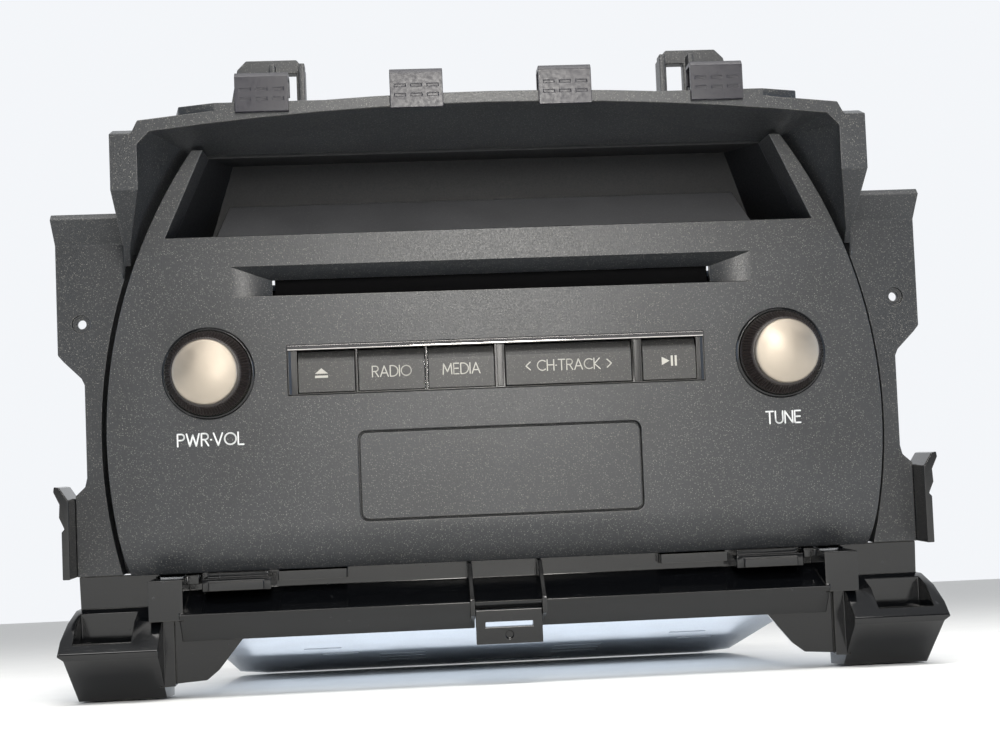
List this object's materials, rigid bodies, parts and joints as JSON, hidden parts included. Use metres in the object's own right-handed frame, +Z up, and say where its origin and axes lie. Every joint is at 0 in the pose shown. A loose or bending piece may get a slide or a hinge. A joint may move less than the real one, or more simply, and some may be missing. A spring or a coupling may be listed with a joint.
{
  "type": "car radio",
  "caption": "Dashboard car radio with a slot-loading disc player, two turning knobs, a bar of press keys, a display pocket under a hood, and a sheet-steel chassis.",
  "frame": {"origin": "middle of the bounding box's bottom face, on the surface that the feet and the chassis's rear edge rest on", "axes": "+X to the driver's right when facing the panel, +Y into the dashboard, +Z up"},
  "size_m": [0.2456, 0.2111, 0.1805],
  "materials": {
    "textured_black": "light-textured black ABS with a faint metallic fleck",
    "gloss_black": "polished black ABS",
    "key_black": "fine satin black",
    "clip_black": "smooth black with a violet cast",
    "pocket_black": "dull black",
    "ledge_grey": "satin dark grey",
    "bright_strip": "bright chrome",
    "knob_rubber": "dark knurled soft plastic",
    "knob_metal": "satin champagne silver",
    "steel": "bright zinc-plated steel",
    "zinc_sheet": "grey-blue zinc-coated sheet steel",
    "heat_sink": "dark anodised aluminium",
    "board_green": "solder resist on glass-fibre board",
    "nylon_white": "natural white nylon",
    "inner_black": "black moulded plastic",
    "clear_guide": "clear acrylic light guide",
    "roller_rubber": "black loading rubber",
    "capacitor_blue": "blue sleeve"
  },
  "bodies": {
    "radio_body": {"carrier_frame": "textured_black", "lower_rail": "gloss_black", "faceplate": "textured_black", "blank_cover": "textured_black", "key_frame": "gloss_black", "chrome_strip": "bright_strip", "knob_rings": "gloss_black", "rotary_encoders": "steel", "slot_guide": "inner_black", "pocket_liner": "pocket_black", "pocket_ledge": "ledge_grey", "top_spring_clips": "clip_black", "side_clips": "gloss_black", "lower_snap_clips": "gloss_black", "centre_latch": "gloss_black", "chassis_tub": "zinc_sheet", "top_cover": "zinc_sheet", "front_chassis_plate": "zinc_sheet", "rear_heat_sink": "heat_sink", "side_bracket_left": "zinc_sheet", "side_bracket_right": "zinc_sheet", "bracket_screws": "steel", "face_screws": "steel", "main_board": "board_green", "tuner_module": "steel", "rear_connector": "nylon_white", "antenna_sockets": "inner_black", "amplifier_chip": "inner_black", "capacitors": "capacitor_blue", "key_board": "board_green", "tact_switches": "inner_black", "light_guide": "clear_guide", "ribbon_cable": "nylon_white", "deck_base": "zinc_sheet", "deck_dampers": "roller_rubber", "loading_motor": "steel", "spindle_motor": "steel", "guide_rod": "steel", "sled_motor": "steel"},
    "volume_rotor": {"volume_rotor": "nylon_white"},
    "volume_knob": {"volume_shaft": "steel", "volume_knob_skirt": "knob_rubber", "volume_knob_cap": "knob_metal"},
    "tune_knob": {"tune_shaft": "steel", "tune_knob_skirt": "knob_rubber", "tune_knob_cap": "knob_metal"},
    "eject_key": {"eject_key": "key_black"},
    "radio_key": {"radio_key": "key_black"},
    "media_key": {"media_key": "key_black"},
    "play_key": {"play_key": "key_black"},
    "track_rocker": {"track_rocker": "key_black"},
    "slot_shutter": {"slot_shutter": "inner_black"},
    "loading_roller": {"loading_roller": "roller_rubber", "roller_gear": "nylon_white"},
    "drive_gear": {"drive_gear": "nylon_white"},
    "turntable": {"turntable": "steel"},
    "clamp_arm": {"clamp_arm": "steel"},
    "clamp_disc": {"clamp_disc": "nylon_white"},
    "lead_screw": {"lead_screw": "steel"},
    "pickup_sled": {"pickup_sled": "inner_black"}
  },
  "joints": [
    {"name": "volume_turn", "type": "hinge", "parent": "radio_body", "child": "volume_rotor", "pos_m": [-0.08, -0.07734, 0.08797], "axis": [0, 0.996, 0.0891], "continuous": true},
    {"name": "volume_push", "type": "slide", "parent": "volume_rotor", "child": "volume_knob", "axis": [0, 0.996, 0.0891], "range_m": [0, 0.0012], "stiffness_N_per_m": 1500, "springref_m": -0.0015},
    {"name": "tune_turn", "type": "hinge", "parent": "radio_body", "child": "tune_knob", "pos_m": [0.08, -0.07734, 0.08797], "axis": [0, 0.996, 0.0891], "continuous": true},
    {"name": "eject_press", "type": "slide", "parent": "radio_body", "child": "eject_key", "axis": [0, 0.996, 0.0891], "range_m": [0, 0.0008], "stiffness_N_per_m": 900, "springref_m": -0.0012},
    {"name": "radio_press", "type": "slide", "parent": "radio_body", "child": "radio_key", "axis": [0, 0.996, 0.0891], "range_m": [0, 0.0008], "stiffness_N_per_m": 900, "springref_m": -0.0012},
    {"name": "media_press", "type": "slide", "parent": "radio_body", "child": "media_key", "axis": [0, 0.996, 0.0891], "range_m": [0, 0.0008], "stiffness_N_per_m": 900, "springref_m": -0.0012},
    {"name": "track_rock", "type": "hinge", "parent": "radio_body", "child": "track_rocker", "pos_m": [0.01995, -0.07365, 0.0883], "axis": [0, -0.0891, 0.996], "range_deg": [-2.4, 2.4], "stiffness_Nm_per_rad": 0.6},
    {"name": "play_press", "type": "slide", "parent": "radio_body", "child": "play_key", "axis": [0, 0.996, 0.0891], "range_m": [0, 0.0008], "stiffness_N_per_m": 900, "springref_m": -0.0012},
    {"name": "shutter_swing", "type": "hinge", "parent": "radio_body", "child": "slot_shutter", "pos_m": [0, -0.07156, 0.11541], "axis": [1, 0, 0], "range_deg": [0, 70], "stiffness_Nm_per_rad": 0.002, "springref_deg": -17.19},
    {"name": "roller_spin", "type": "hinge", "parent": "radio_body", "child": "loading_roller", "pos_m": [0, -0.03893, 0.10169], "axis": [1, 0, 0], "continuous": true},
    {"name": "drive_gear_spin", "type": "hinge", "parent": "radio_body", "child": "drive_gear", "pos_m": [0.0682, -0.04085, 0.08782], "axis": [1, 0, 0], "continuous": true},
    {"name": "turntable_spin", "type": "hinge", "parent": "radio_body", "child": "turntable", "pos_m": [0, 0.02324, 0.09863], "axis": [0, 0.1372, 0.9905], "continuous": true},
    {"name": "clamp_lift", "type": "hinge", "parent": "radio_body", "child": "clamp_arm", "pos_m": [0, 0.07494, 0.09288], "axis": [-1, 0, 0], "range_deg": [0, 3], "stiffness_Nm_per_rad": 0.5, "springref_deg": -11.46},
    {"name": "clamp_spin", "type": "hinge", "parent": "clamp_arm", "child": "clamp_disc", "pos_m": [0, 0.02324, 0.09863], "axis": [0, 0.1372, 0.9905], "continuous": true},
    {"name": "lead_screw_turn", "type": "hinge", "parent": "radio_body", "child": "lead_screw", "pos_m": [0, 0.0443, 0.09036], "axis": [1, 0, 0], "range_deg": [0, 4080]},
    {"name": "pickup_slide", "type": "slide", "parent": "radio_body", "child": "pickup_sled", "axis": [1, 0, 0], "range_m": [0, 0.0339]}
  ],
  "couplings": [
    {"joint": "drive_gear_spin", "follows": "roller_spin", "ratio": -0.75},
    {"joint": "lead_screw_turn", "follows": "pickup_slide", "rad_per_m": 2094.4}
  ]
}
